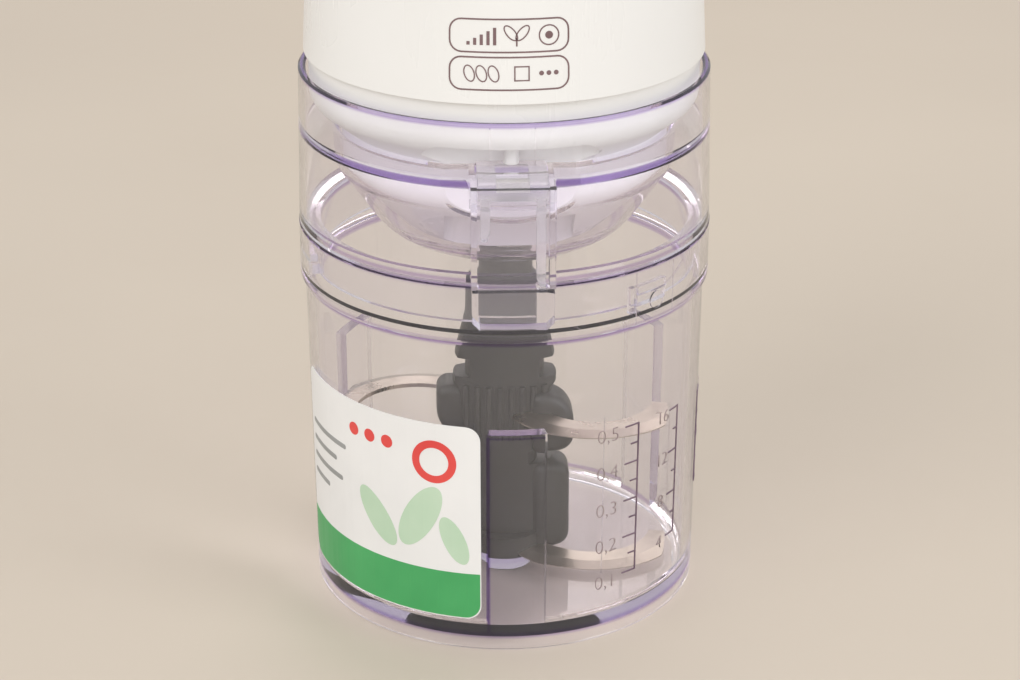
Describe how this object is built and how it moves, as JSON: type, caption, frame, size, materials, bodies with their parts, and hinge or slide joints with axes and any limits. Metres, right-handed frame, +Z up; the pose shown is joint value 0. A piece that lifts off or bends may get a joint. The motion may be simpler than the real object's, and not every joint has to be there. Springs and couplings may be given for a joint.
{
  "type": "electric mini chopper",
  "caption": "Small electric chopper: clear bowl, twist-lock clear lid with interlock latch, lift-off white motor head, planetary drive and twin S-shaped steel blades on a dark stem.",
  "frame": {"origin": "centre of the bowl's flat base, on the table", "axes": "+Z up along the drive axis, -Y towards the interlock latch (the picture's front), +X to its right"},
  "size_m": [0.1152, 0.1216, 0.2564],
  "materials": {
    "clear_plastic": "clear moulded plastic with a faint lavender edge tint",
    "white_plastic": "smooth satin-gloss white moulding",
    "dark_plastic": "dark grey moulding with a soft sheen",
    "blade_steel": "polished stainless with ground edges",
    "plain_steel": "turned steel",
    "bearing_bronze": "sintered bronze and stamped brass",
    "core_steel": "varnished steel laminations",
    "copper": "enamelled copper",
    "die_cast": "plain die casting",
    "gear_plastic": "natural acetal",
    "black_plastic": "black moulding and carbon"
  },
  "bodies": {
    "bowl": {"bowl": "clear_plastic", "bowl_spindle": "plain_steel"},
    "blade": {"blade_stem": "dark_plastic", "upper_blade": "blade_steel", "lower_blade": "blade_steel", "stem_bush": "bearing_bronze"},
    "lid": {"lid": "clear_plastic"},
    "slider": {"interlock_slider": "clear_plastic"},
    "head": {"lower_housing": "white_plastic", "upper_housing": "white_plastic", "cord_gland": "white_plastic", "housing_screws": "plain_steel", "interlock_switch": "black_plastic", "start_switch": "black_plastic", "button_spring": "plain_steel", "motor_base": "die_cast", "base_screws": "plain_steel", "lower_bearing": "bearing_bronze", "stator_core": "core_steel", "field_coils": "copper", "upper_bracket": "die_cast", "motor_screws": "plain_steel", "upper_bearing": "bearing_bronze", "brush_holders": "bearing_bronze", "carbon_brushes": "black_plastic", "ring_gear": "gear_plastic", "output_bush": "bearing_bronze"},
    "pin": {"interlock_pin": "white_plastic"},
    "button": {"press_button": "white_plastic"},
    "rotor": {"motor_shaft": "plain_steel", "armature_core": "core_steel", "armature_windings": "copper", "commutator": "copper", "cooling_fan": "black_plastic", "sun_gear": "plain_steel"},
    "carrier": {"planet_carrier": "plain_steel", "planet_pins": "plain_steel", "output_shaft": "plain_steel", "drive_coupling": "dark_plastic"},
    "planet_1": {"planet_gear_1": "gear_plastic"},
    "planet_2": {"planet_gear_2": "gear_plastic"},
    "planet_3": {"planet_gear_3": "gear_plastic"}
  },
  "joints": [
    {"name": "lid_twist", "type": "hinge", "parent": "bowl", "child": "lid", "pos_m": [0, 0, 0.11], "axis": [0, 0, 1], "range_deg": [0, 13]},
    {"name": "slider_drop", "type": "slide", "parent": "lid", "child": "slider", "axis": [0, 0, 1], "range_m": [-0.0029, 0]},
    {"name": "head_lift", "type": "slide", "parent": "lid", "child": "head", "axis": [0, 0, 1], "range_m": [0, 0.07]},
    {"name": "pin_drop", "type": "slide", "parent": "head", "child": "pin", "axis": [0, 0, 1], "range_m": [-0.0029, 0]},
    {"name": "button_press", "type": "slide", "parent": "head", "child": "button", "axis": [0, 0, -1], "range_m": [0, 0.0035], "stiffness_N_per_m": 800, "springref_m": -0.002, "deforming": ["button_spring"]},
    {"name": "rotor_spin", "type": "hinge", "parent": "head", "child": "rotor", "pos_m": [0, 0, 0.18], "axis": [0, 0, 1], "continuous": true},
    {"name": "carrier_spin", "type": "hinge", "parent": "head", "child": "carrier", "pos_m": [0, 0, 0.126], "axis": [0, 0, 1], "continuous": true},
    {"name": "planet_1_spin", "type": "hinge", "parent": "carrier", "child": "planet_1", "pos_m": [0.015, 0, 0.133], "axis": [0, 0, 1], "continuous": true},
    {"name": "planet_2_spin", "type": "hinge", "parent": "carrier", "child": "planet_2", "pos_m": [-0.0075, 0.01299, 0.133], "axis": [0, 0, 1], "continuous": true},
    {"name": "planet_3_spin", "type": "hinge", "parent": "carrier", "child": "planet_3", "pos_m": [-0.0075, -0.01299, 0.133], "axis": [0, 0, 1], "continuous": true},
    {"name": "blade_spin", "type": "hinge", "parent": "bowl", "child": "blade", "pos_m": [0, 0, 0.03], "axis": [0, 0, 1], "continuous": true}
  ],
  "couplings": [
    {"joint": "slider_drop", "follows": "lid_twist", "m_per_rad": -0.012341},
    {"joint": "pin_drop", "follows": "lid_twist", "m_per_rad": -0.012341},
    {"joint": "carrier_spin", "follows": "rotor_spin", "ratio": 0.2},
    {"joint": "planet_1_spin", "follows": "rotor_spin", "ratio": -0.53333},
    {"joint": "planet_2_spin", "follows": "rotor_spin", "ratio": -0.53333},
    {"joint": "planet_3_spin", "follows": "rotor_spin", "ratio": -0.53333},
    {"joint": "blade_spin", "follows": "rotor_spin", "ratio": 0.2}
  ]
}
